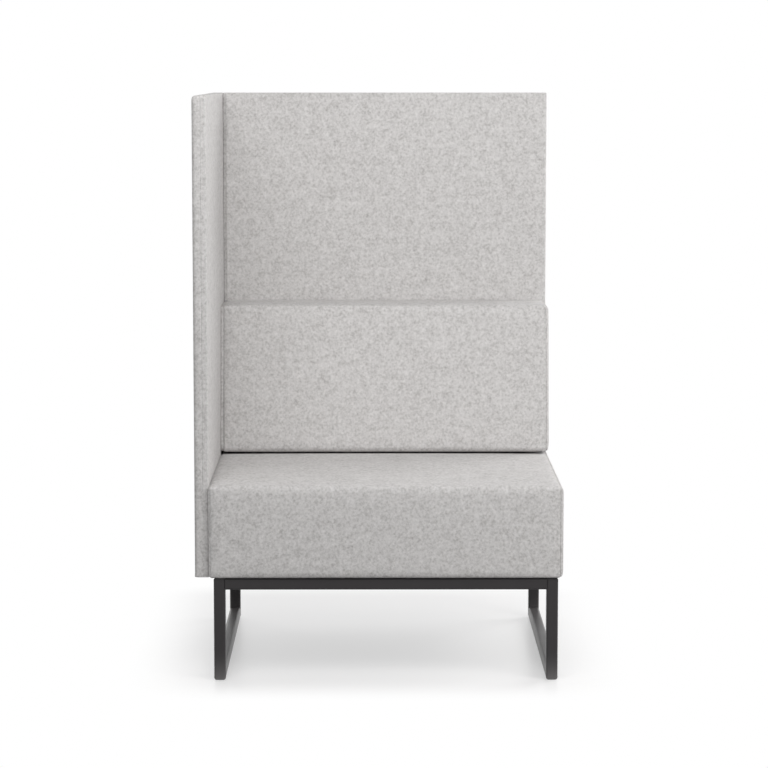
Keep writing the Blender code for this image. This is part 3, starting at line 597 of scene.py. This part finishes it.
class SOFA_OT_backrest(bpy.types.Operator):
    """Backrest wedge: front and top in one panel leaning back, boxed side panels sewn in at the ends, swollen
    by the filling at the front and the free end"""

    bl_idname = "sofa.backrest"
    bl_label = "Backrest"

    def execute(self, context):
        sizes = context.scene.sofa_sizes
        low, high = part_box("backrest_cover")
        lean = sizes.backrest_lean
        bulge = sizes.boxing_bulge
        foot, top, rear = low.z, high.z, high.y
        front = low.y + sizes.crown
        corners = [(front, foot), (rear, foot), (rear, top), (front + lean, top)]
        radii = [sizes.backrest_foot_radius, HIDDEN_RADIUS, HIDDEN_RADIUS, sizes.edge_radius]
        points, outward = rounded_outline(corners, radii, pitch=10 * MM)
        depth = (rear - front - lean) / 2
        lower = (rear + front) / 2 + 0.25 * lean
        upper = (rear + front + lean) / 2
        inward = towards_spine(points, (lower, foot + depth), (upper, top - depth))
        pressed_bulge = bulge - sizes.screen_press
        ends = ((pressed_bulge, sizes.pressed_roll), (bulge - SIDE_SWELL, sizes.boxing_roll))
        places, insets, roles = cushion_rings(low.x + bulge, high.x - bulge, sizes, depth, ends, RING_PITCH)
        grid = loft(points, inward, places, insets, X_AXIS)
        piece = sewn_piece("backrest_upholstery", grid, ["backrest_cover", "backrest_foam"])
        pressed = (outward[:, 0] > FACING) | (outward[:, 1] < -FACING)
        plump(piece, np.isin(roles, (SEAM, LOW_SIDE))[:, None] | pressed[None], sizes.crown)
        return {"FINISHED"}


class SOFA_OT_back_screen(bpy.types.Operator):
    """High back screen: a front and a rear panel with crisp edges, sewn to a narrow boxed strip"""

    bl_idname = "sofa.back_screen"
    bl_label = "Back screen"

    def execute(self, context):
        sizes = context.scene.sofa_sizes
        low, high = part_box("back_screen_cover")
        bulge = sizes.boxing_bulge
        radius = sizes.back_radius
        left, right = low.x + bulge, high.x - bulge
        strip_rise = 0.5 * MM
        foot, top = low.z, high.z - strip_rise
        corners = [(left, foot), (right, foot), (right, top), (left, top)]
        points, outward = rounded_outline(corners, [2 * MM] * 4, pitch=8 * MM)
        depth = (right - left) / 2
        middle = (left + right) / 2
        inward = towards_spine(points, (middle, foot + depth), (middle, top - depth))
        # The strip stands out by its bulge at the free end, by less at the pressed one, and a little on top
        sideways = (2 * outward[:, 0]).clip(sizes.screen_press / bulge - 1, 1) * bulge
        stands = np.stack([sideways, outward[:, 1].clip(0) * strip_rise], axis=1)
        turn = np.linspace(0.0, math.pi / 2, 5)
        thick = high.y - low.y
        # Rings on the flat face, at these distances from its edge
        face = np.array([[0.0, 0.0, 0.0], [80 * MM, 20 * MM, 6 * MM]])
        edge = radius * np.stack([1 - np.cos(turn), 1 - np.sin(turn)])
        groove = np.array([[0.2, 0.5, 0.8], [0.1, 0.9, 0.1]]) * MM + np.array([[radius], [0.0]])
        half = np.concatenate([face, edge, groove], axis=1)
        strip = np.sin(np.linspace(-math.pi / 2, math.pi / 2, 19))[1:-1]
        reach = thick / 2 - half[0][-1]
        places = np.concatenate([half[0], thick / 2 + strip * reach, thick - half[0][::-1]])
        insets = np.concatenate([half[1], np.zeros(len(strip)), half[1][::-1]])
        # It is round at the free end, and pressed square against the side screen at the other
        round_end, square_end = 4, 20
        shape = 1 - strip[:, None] ** np.where(outward[:, 0] < 0, square_end, round_end)[None]
        swell = np.pad(shape, [(half.shape[1], half.shape[1]), (0, 0)])[..., None] * stands[None]
        grid = loft(points, inward, low.y + places, insets, Y_AXIS, swell)
        sewn_piece("back_screen_upholstery", grid, ["back_screen_cover", "back_screen_foam"])
        return {"FINISHED"}


class SOFA_OT_side_screen(bpy.types.Operator):
    """Side screen: two faces wrapped round a board, joined by one seam that runs round the edge"""

    bl_idname = "sofa.side_screen"
    bl_label = "Side screen"

    def execute(self, context):
        sizes = context.scene.sofa_sizes
        low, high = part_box("side_screen_cover")
        front = low.y - sizes.screen_padding
        corners = [(front, low.z), (high.y, low.z), (high.y, high.z), (front, high.z)]
        foot_radius, rear_radius, front_radius = 2 * MM, 4 * MM, 6 * MM
        radii = [foot_radius, foot_radius, rear_radius, front_radius]
        points, outward = rounded_outline(corners, radii, pitch=14 * MM)
        depth = (high.y - front) / 2
        middle = (high.y + front) / 2
        inward = towards_spine(points, (middle, low.z + depth), (middle, high.z - depth))
        turn = np.linspace(0.0, math.pi / 2, 8)
        thick = high.x - low.x
        # Rings on the flat face, at these distances from its edge
        face = np.array([[0.0, 0.0, 0.0], [80 * MM, 40 * MM, 14 * MM]])
        edge = np.stack([1 - np.cos(turn), 1 - np.sin(turn)])
        outer = sizes.outer_radius * edge
        inner = sizes.inner_radius * edge
        seam = sizes.screen_seam + np.array([-3.0, -1.6, -0.8, -0.3, 0.0, 0.3, 0.8, 1.6, 3.0]) * MM
        dip = np.array([0.0, 0.05, 0.2, 0.5, 0.9, 0.5, 0.2, 0.05, 0.0]) * MM
        places = np.concatenate([face[0], outer[0], seam, thick - inner[0][::-1], thick - face[0][::-1]])
        insets = np.concatenate([face[1], outer[1], dip, inner[1][::-1], face[1][::-1]])
        # Along the foot the cloth is folded under, so the rounding of the edges is mostly taken back there
        taken_back = 0.8
        folds = np.where(insets < sizes.outer_radius + 1 * MM, taken_back * insets, 0.0)
        swell = folds[:, None, None] * np.where(outward[:, 1] < -FACING, -inward.T, 0.0).T[None]
        grid = loft(points, inward, low.x + sizes.screen_press + places, insets, X_AXIS, swell)
        sewn_piece("side_screen_upholstery", grid, ["side_screen_cover", "side_screen_foam"])
        return {"FINISHED"}


def stretched_cloth(name, low, high, level, sag):
    """Thin cloth on a grid between two corners: level less the sag times one less the square of the share
    across, times the same along, with its thickness added below."""
    across = np.linspace(-1, 1, CLOTH_POINTS[0])[:, None]
    along = np.linspace(-1, 1, CLOTH_POINTS[1])[None]
    grid = np.empty((*CLOTH_POINTS, 3))
    grid[..., 0] = (low.x + high.x) / 2 + across * (high.x - low.x) / 2
    grid[..., 1] = (low.y + high.y) / 2 + along * (high.y - low.y) / 2
    grid[..., 2] = level - sag * (1 - across**2) * (1 - along**2)
    cloth = new_piece(name, grid.reshape(-1, 3), flat_quads(*CLOTH_POINTS).tolist(), "dust_cloth")
    thickness = cloth.modifiers.new("thickness", "SOLIDIFY")
    thickness.thickness = CLOTH_THICKNESS
    thickness.offset = -1.0
    return cloth


def staple_row(first, last, level, count):
    """Row of wire staples between two points: a flat wire section carried over a low bridge with sunk
    ends."""
    first = np.asarray(first, float)
    last = np.asarray(last, float)
    run = (last - first) / np.linalg.norm(last - first)
    side = np.array([-run[1], run[0]])
    length_way = np.array([-5.2, -5.2, -4.7, 4.7, 5.2, 5.2]) * MM
    height = np.array([2.0, 0.1, -0.4, -0.4, 0.1, 2.0]) * MM
    section = np.array([(-0.6, -0.25), (0.6, -0.25), (0.6, 0.25), (-0.6, 0.25)]) * MM
    bridge = np.empty((STAPLE_RINGS, STAPLE_CORNERS, 3))
    bridge[..., :2] = length_way[:, None, None] * run + section[None, :, :1] * side
    bridge[..., 2] = level + height[:, None] + section[None, :, 1]
    share = np.linspace(0.0, 1.0, count)[:, None]
    centres = np.concatenate([first + share * (last - first), np.zeros((count, 1))], axis=1)
    return (bridge[None] + centres[:, None, None]).reshape(count, -1, 3)


class SOFA_OT_linings(bpy.types.Operator):
    """Black linings: the dust cloth stapled under the seat, and a black sheet under the backrest's foot,
    added as painted shade that deepens the gap over the seat
    """

    bl_idname = "sofa.linings"
    bl_label = "Linings"

    def execute(self, context):
        sizes = context.scene.sofa_sizes
        low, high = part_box("seat_dust_cover")
        underside = stretched_cloth("seat_dust_cloth", low, high, high.z, sizes.cloth_sag)
        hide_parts("seat_dust_cover")
        inset = 30 * MM
        corner = 90 * MM
        level = high.z - 0.9 * MM
        rows = [
            staple_row((low.x + inset, low.y + corner), (low.x + inset, high.y - corner), level, 8),
            staple_row((high.x - inset, low.y + corner), (high.x - inset, high.y - corner), level, 8),
            staple_row((low.x + corner, low.y + inset), (high.x - corner, low.y + inset), level, 9),
            staple_row((low.x + corner, high.y - inset), (high.x - corner, high.y - inset), level, 9),
        ]
        staples = np.concatenate(rows)
        size = STAPLE_RINGS * STAPLE_CORNERS
        section = np.arange(STAPLE_CORNERS)
        caps = [section[::-1], section + size - STAPLE_CORNERS]
        one = turned_out(staples[0], np.concatenate([wrapped_quads(STAPLE_RINGS, STAPLE_CORNERS), caps]))
        quads = one[None] + size * np.arange(len(staples))[:, None, None]
        new_piece("seat_dust_staples", staples.reshape(-1, 3), quads.reshape(-1, 4).tolist(), "zinc")
        # A black sheet just under the backrest's foot: painted shade that deepens the gap between backrest
        # and seat
        low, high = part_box("backrest_cover")
        border = Vector((18 * MM, 14 * MM, 0.0))
        level = low.z - 0.2 * MM
        stretched_cloth("backrest_shade_sheet", low + border, high - border, level, 0.0)
        return {"FINISHED"}


def weld_band(centre, first, second, tube, sizes):
    """Ground weld round a cut in square tube: the tube's rounded outline on the two directions of the cut's
    plane, carried round a flat closed section that stands a little off the tube and roots in its wall."""
    half = tube / 2
    corners = [(-half, -half), (half, -half), (half, half), (-half, half)]
    points, outward = rounded_outline(corners, [sizes.tube_radius] * 4, pitch=6 * MM)
    turn = np.linspace(0.0, 2 * math.pi, 9)[:-1]
    height = np.where(np.sin(turn) > 0, sizes.weld_height, WELD_ROOT) * np.sin(turn)
    flat = points[None] + height[:, None, None] * outward[None]
    normal = np.cross(first, second)
    normal = normal / np.linalg.norm(normal) * sizes.weld_width / 2
    along = np.cos(turn)[:, None, None] * normal
    return np.asarray(centre) + flat[..., :1] * np.asarray(first) + flat[..., 1:] * np.asarray(second) + along


class SOFA_OT_weld_seams(bpy.types.Operator):
    """Ground welds of the base: round both ends of each cross rail and over the mitres of the two loops"""

    bl_idname = "sofa.weld_seams"
    bl_label = "Weld seams"

    def execute(self, context):
        sizes = context.scene.sofa_sizes
        bands = []
        for place in ("front", "rear"):
            low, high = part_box(f"base_{place}_cross_rail")
            middle = (low + high) / 2
            tube = high.z - low.z
            for end in (low.x - HALF_WELD_GAP, high.x + HALF_WELD_GAP):
                bands.append(weld_band((end, middle.y, middle.z), (0, 1, 0), (0, 0, 1), tube, sizes))
        for side in ("left", "right"):
            for rail, rise in (("top_rail", 1), ("runner", -1)):
                low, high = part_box(f"base_{rail}_{side}")
                middle = (low + high) / 2
                for leg, run in (("front", -1), ("rear", 1)):
                    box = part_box(f"base_{leg}_leg_{side}")
                    deep = (box[0].y + box[1].y) / 2
                    centre = (middle.x, deep, middle.z)
                    bands.append(weld_band(centre, (1, 0, 0), (0, run, rise), tube, sizes))
        rings, around = bands[0].shape[:2]
        quads = wrapped_quads(rings, around, closed_ends=True)
        points = [band.reshape(-1, 3) for band in bands]
        faces = [turned_out(shell, quads) + rings * around * k for k, shell in enumerate(points)]
        new_piece("base_weld_seams", np.concatenate(points), np.concatenate(faces).tolist(), "powder_coat")
        return {"FINISHED"}


class SOFA_OT_frame_finishes(bpy.types.Operator):
    """Finishes of the parts that keep their own shape: base, timber, springs and fasteners"""

    bl_idname = "sofa.frame_finishes"
    bl_label = "Frame finishes"

    def execute(self, context):
        for name, node in NODES.items():
            if not node.hide_render:
                node.data.materials.clear()
                node.data.materials.append(finish(SLOT_OF[name]))
        return {"FINISHED"}


def aim(obj, place, target):
    """Put an object at a place with its local -Z towards the target."""
    obj.location = place
    away = obj.location - Vector(target)
    obj.rotation_euler = away.to_track_quat("Z", "Y").to_euler()


def area_light(name, place, width, power, tint):
    """Square soft light at a place, turned to the sofa."""
    data = bpy.data.lights.new(name, "AREA")
    data.shape = "SQUARE"
    data.size = width
    data.energy = power
    data.color = tint
    light = bpy.data.objects.new(name, data)
    bpy.context.scene.collection.objects.link(light)
    aim(light, place, LIGHT_TARGET)


def seen_rays(tree):
    """Socket that is one for rays that see the backdrop: camera, glossy and transmission rays."""
    path = add(tree, "ShaderNodeLightPath")
    some = add(
        tree,
        "ShaderNodeMath",
        {"operation": "MAXIMUM"},
        i0=path.outputs["Is Camera Ray"],
        i1=path.outputs["Is Glossy Ray"],
    )
    every = add(
        tree,
        "ShaderNodeMath",
        {"operation": "MAXIMUM"},
        i0=some.outputs["Value"],
        i1=path.outputs["Is Transmission Ray"],
    )
    return every.outputs["Value"]


def studio_floor(colours):
    """Pale painted floor, a little glossy, that fades to the white of the backdrop away from the sofa."""
    material, tree, shader, place = start_material("pale_painted_floor")
    shader.inputs["Roughness"].default_value = 0.30
    shader.inputs["Specular IOR Level"].default_value = 0.5
    seen = seen_rays(tree)
    # Light that only bounces off the floor meets a grey one, so that less of it comes back up
    tree.links.new(blend(tree, seen, linear("#8C8C8C"), colours.floor), shader.inputs["Base Color"])
    # How far a point lies outside the shaded part, from what each coordinate has past its half size
    span = place
    for operation, values in (
        ("SUBTRACT", {"i1": SHADE_MIDDLE}),
        ("ABSOLUTE", {}),
        ("SUBTRACT", {"i1": SHADE_HALF}),
        ("MAXIMUM", {"i1": (0.0, 0.0, 0.0)}),
    ):
        step = add(tree, "ShaderNodeVectorMath", {"operation": operation}, i0=span, **values)
        span = step.outputs["Vector"]
    far = add(tree, "ShaderNodeVectorMath", {"operation": "LENGTH"}, i0=span)
    fade = add(
        tree,
        "ShaderNodeMapRange",
        {"interpolation_type": "SMOOTHSTEP"},
        Value=far.outputs["Value"],
        From_Max=SHADE_FADE,
        To_Min=SHADE_WHITE,
    )
    share = add(tree, "ShaderNodeMath", {"operation": "MULTIPLY"}, i0=fade.outputs["Result"], i1=seen)
    white = add(tree, "ShaderNodeEmission", Color=(*WHITE, 1.0), Strength=1.0)
    mixed = add(
        tree,
        "ShaderNodeMixShader",
        i0=share.outputs["Value"],
        i1=shader.outputs["BSDF"],
        i2=white.outputs["Emission"],
    )
    output = next(node for node in tree.nodes if node.type == "OUTPUT_MATERIAL")
    tree.links.new(mixed.outputs["Shader"], output.inputs["Surface"])
    return material


class SOFA_OT_stage(bpy.types.Operator):
    """Stage: pale floor, soft lamps in front, at the right, above and behind, white backdrop and camera"""

    bl_idname = "sofa.stage"
    bl_label = "Stage"

    def execute(self, context):
        scene = context.scene
        scene.view_settings.view_transform = "Standard"
        mesh = bpy.data.meshes.new("studio_floor")
        side = np.linspace(-FLOOR_REACH, FLOOR_REACH, FLOOR_POINTS)
        across, deep = np.meshgrid(side, side, indexing="ij")
        points = np.stack([across, deep, np.zeros_like(across)], axis=-1).reshape(-1, 3)
        mesh.from_pydata(points.tolist(), [], flat_quads(FLOOR_POINTS, FLOOR_POINTS).tolist())
        floor = bpy.data.objects.new("studio_floor", mesh)
        scene.collection.objects.link(floor)
        mesh.materials.append(studio_floor(scene.sofa_colours))

        # Place and width in metres, power in watts
        area_light("front_light", (-0.6, -2.1, 2.6), 1.4, 26.0, WHITE)
        area_light("right_light", (1.8, -2.4, 2.6), 2.0, 36.0, WARM_WHITE)
        area_light("low_right_light", (1.8, -1.5, 1.3), 1.0, 10.0, WARM_WHITE)
        area_light("top_light", (0.3, -1.2, 3.0), 1.4, 10.0, WHITE)
        area_light("rear_right_light", (2.45, 1.7, 1.5), 1.7, 55.0, WHITE)
        area_light("rear_light", (-1.6, 3.0, 2.2), 2.4, 30.0, WHITE)

        world = bpy.data.worlds.new("white_studio")
        scene.world = world
        world.use_nodes = True
        tree = world.node_tree
        tree.nodes.clear()
        # Soft light from all round, which falls to nothing straight above
        sky = add(tree, "ShaderNodeTexCoord").outputs["Generated"]
        height = add(tree, "ShaderNodeSeparateXYZ", Vector=sky).outputs["Z"]
        level = add(tree, "ShaderNodeMapRange", Value=height, To_Min=HORIZON_LEVEL, To_Max=ZENITH_LEVEL)
        ambient = add(tree, "ShaderNodeBackground", Color=(*WHITE, 1.0), Strength=level.outputs["Result"])
        backdrop = add(tree, "ShaderNodeBackground", Color=(*WHITE, 1.0), Strength=1.0)
        mixed = add(
            tree,
            "ShaderNodeMixShader",
            i0=seen_rays(tree),
            i1=ambient.outputs["Background"],
            i2=backdrop.outputs["Background"],
        )
        add(tree, "ShaderNodeOutputWorld", Surface=mixed.outputs["Shader"])

        data = bpy.data.cameras.new("camera")
        data.sensor_width = CAMERA_SENSOR
        data.lens = CAMERA_LENS
        camera = bpy.data.objects.new("camera", data)
        scene.collection.objects.link(camera)
        camera.location = CAMERA_PLACE
        camera.rotation_euler = (math.radians(90 - CAMERA_PITCH), 0.0, math.radians(-CAMERA_YAW))
        scene.camera = camera
        return {"FINISHED"}


STEPS = (
    SOFA_OT_seat,
    SOFA_OT_backrest,
    SOFA_OT_back_screen,
    SOFA_OT_side_screen,
    SOFA_OT_linings,
    SOFA_OT_weld_seams,
    SOFA_OT_frame_finishes,
    SOFA_OT_stage,
)


class SOFA_PT_panel(bpy.types.Panel):
    """Lists the sizes, the colours and the steps that build the sofa"""

    bl_idname = "SOFA_PT_panel"
    bl_label = "Sofa module"
    bl_space_type = "VIEW_3D"
    bl_region_type = "UI"
    bl_category = "Sofa"

    def draw(self, context):
        for group in (context.scene.sofa_sizes, context.scene.sofa_colours):
            column = self.layout.column(align=True)
            for name in group.__annotations__:
                column.prop(group, name)
        for step in STEPS:
            self.layout.operator(step.bl_idname)


CLASSES = (SofaSizes, SofaColours, *STEPS, SOFA_PT_panel)


def register():
    for cls in CLASSES:
        bpy.utils.register_class(cls)
    bpy.types.Scene.sofa_sizes = PointerProperty(type=SofaSizes)
    bpy.types.Scene.sofa_colours = PointerProperty(type=SofaColours)


def unregister():
    del bpy.types.Scene.sofa_colours
    del bpy.types.Scene.sofa_sizes
    for cls in reversed(CLASSES):
        bpy.utils.unregister_class(cls)


def main():
    """Build everything in order."""
    register()
    bpy.ops.sofa.seat()
    bpy.ops.sofa.backrest()
    bpy.ops.sofa.back_screen()
    bpy.ops.sofa.side_screen()
    bpy.ops.sofa.linings()
    bpy.ops.sofa.weld_seams()
    bpy.ops.sofa.frame_finishes()
    bpy.ops.sofa.stage()


if __name__ == "__main__":
    main()
